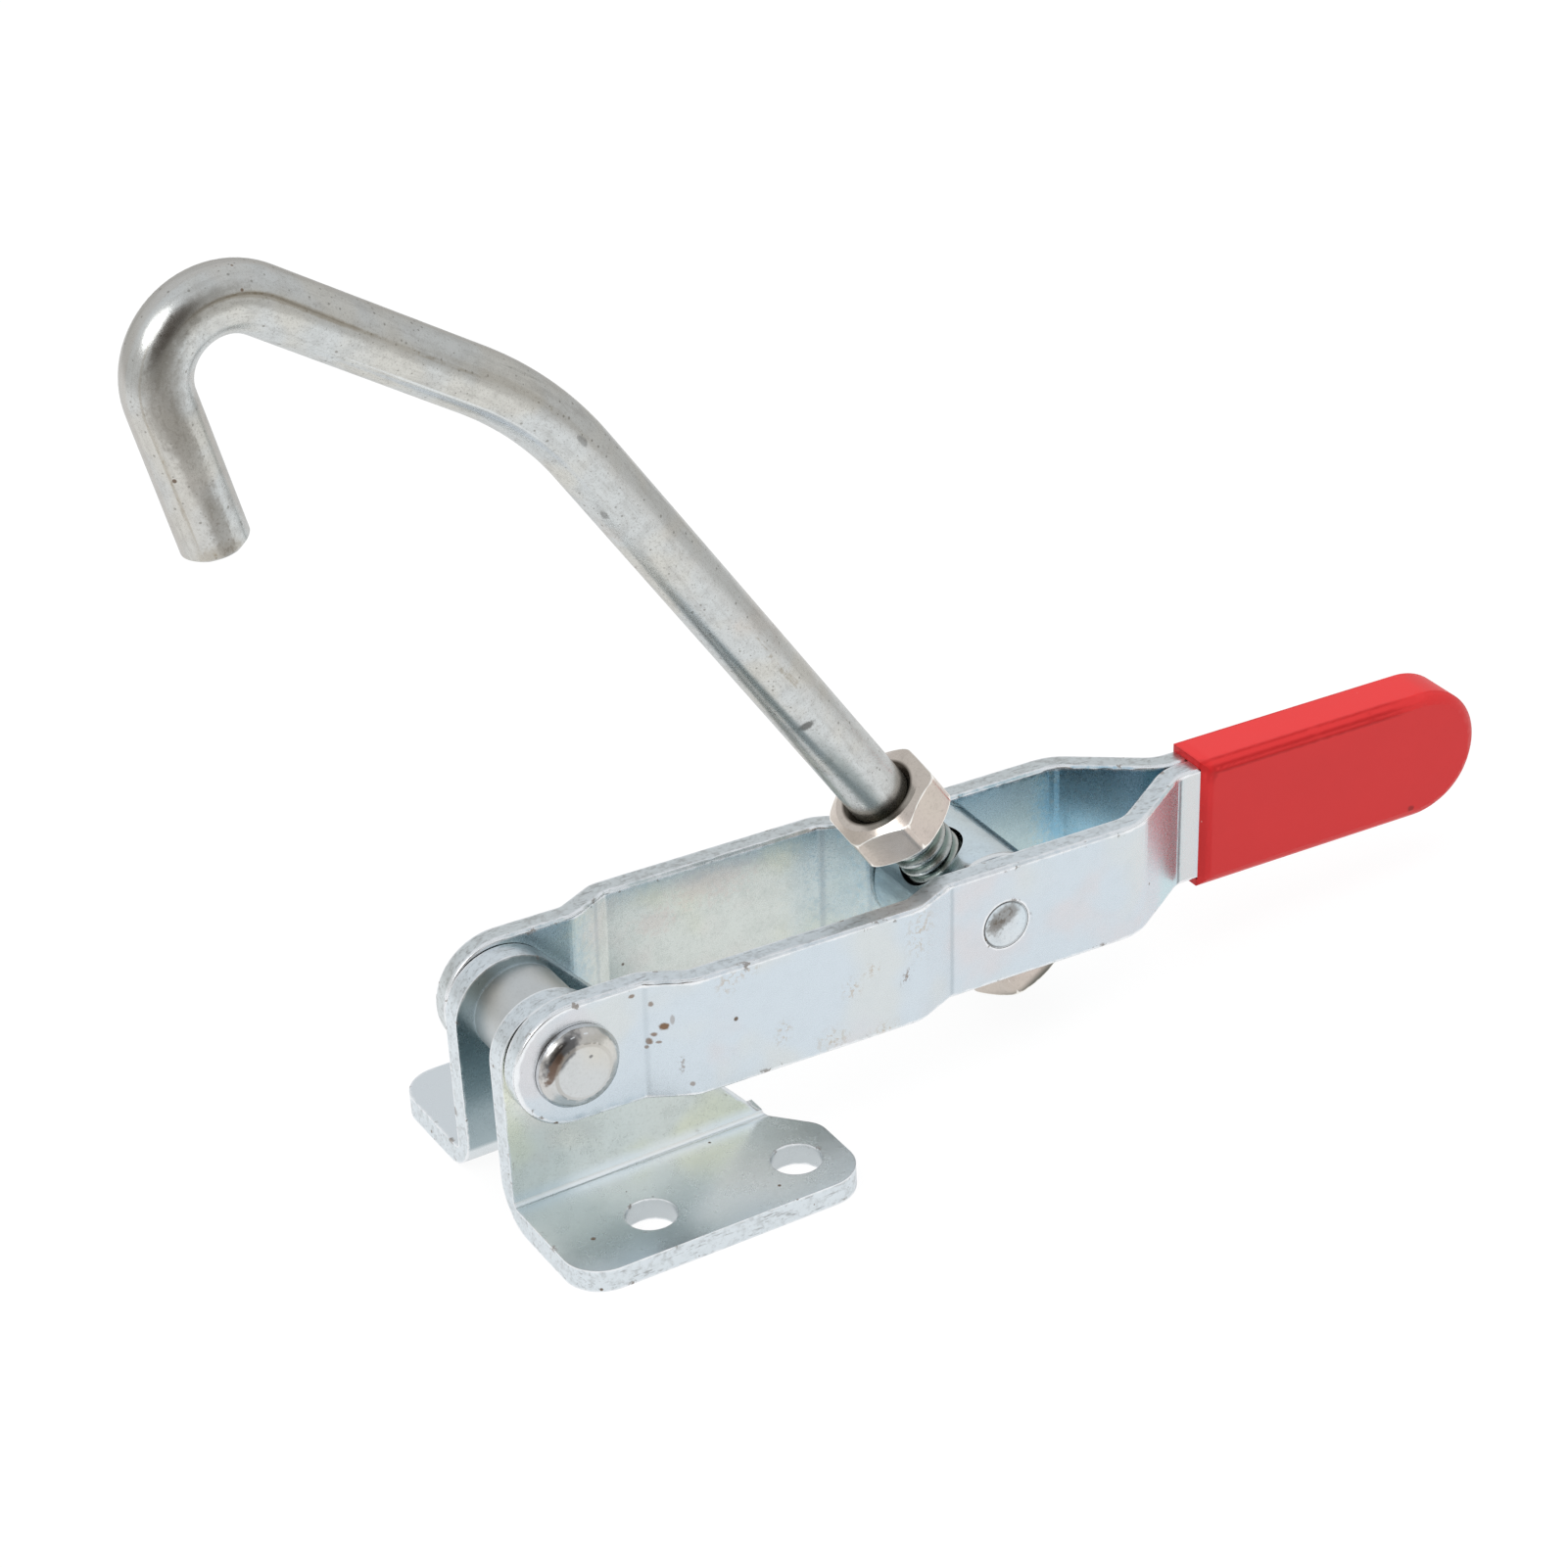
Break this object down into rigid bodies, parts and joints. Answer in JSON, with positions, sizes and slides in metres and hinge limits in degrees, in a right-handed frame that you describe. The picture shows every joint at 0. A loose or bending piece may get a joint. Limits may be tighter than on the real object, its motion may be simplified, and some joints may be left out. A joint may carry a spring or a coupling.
{
  "type": "over centre toggle latch",
  "caption": "Over centre toggle latch: folded base, bent strap handle with dipped grip and a hook bolt that swivels in a cross bar.",
  "frame": {"origin": "centre of the four screw holes, on the mounting face under the base flanges", "axes": "+Z away from the mounting face; +X from the pivot towards the grip; Y along the pivot axis"},
  "size_m": [0.1784, 0.05, 0.1273],
  "materials": {
    "zinc_sheet": "bright zinc plate on sheet, light wear and rust specks at the edges",
    "zinc_turned": "zinc plate on turned bar, stained at the ends",
    "zinc_rod": "dull zinc plate on drawn bar, mottled, with brown streaks at the bends",
    "nut_plating": "warm bright plate",
    "red_vinyl": "dipped red vinyl, soft gloss"
  },
  "bodies": {
    "base": {"base_bracket_near": "zinc_sheet", "base_bracket_far": "zinc_sheet", "pivot_rivet": "zinc_turned", "pivot_spacer": "zinc_turned"},
    "handle": {"handle_strap_near": "zinc_sheet", "handle_strap_far": "zinc_sheet", "handle_grip": "red_vinyl"},
    "cross_bar": {"trunnion": "zinc_turned"},
    "rod_nut": {"lower_nut": "nut_plating"},
    "hook": {"hook_bolt": "zinc_rod"},
    "lock_nut": {"upper_nut": "nut_plating"}
  },
  "joints": [
    {"name": "handle_pivot", "type": "hinge", "parent": "base", "child": "handle", "pos_m": [-0.0146, 0, 0.0221], "axis": [0, -1, 0], "range_deg": [0, 170]},
    {"name": "bar_swivel", "type": "hinge", "parent": "handle", "child": "cross_bar", "pos_m": [0.04511, 0, 0.02001], "axis": [0, 1, 0], "range_deg": [-45, 92]},
    {"name": "rod_float", "type": "slide", "parent": "cross_bar", "child": "rod_nut", "axis": [0.5432, 0, -0.8396], "range_m": [-0.0006, 0.0061]},
    {"name": "hook_turn", "type": "hinge", "parent": "rod_nut", "child": "hook", "pos_m": [0.04511, 0, 0.02001], "axis": [-0.5432, 0, 0.8396], "continuous": true},
    {"name": "lock_nut_turn", "type": "hinge", "parent": "hook", "child": "lock_nut", "pos_m": [0.04511, 0, 0.02001], "axis": [-0.5432, 0, 0.8396], "continuous": true}
  ]
}
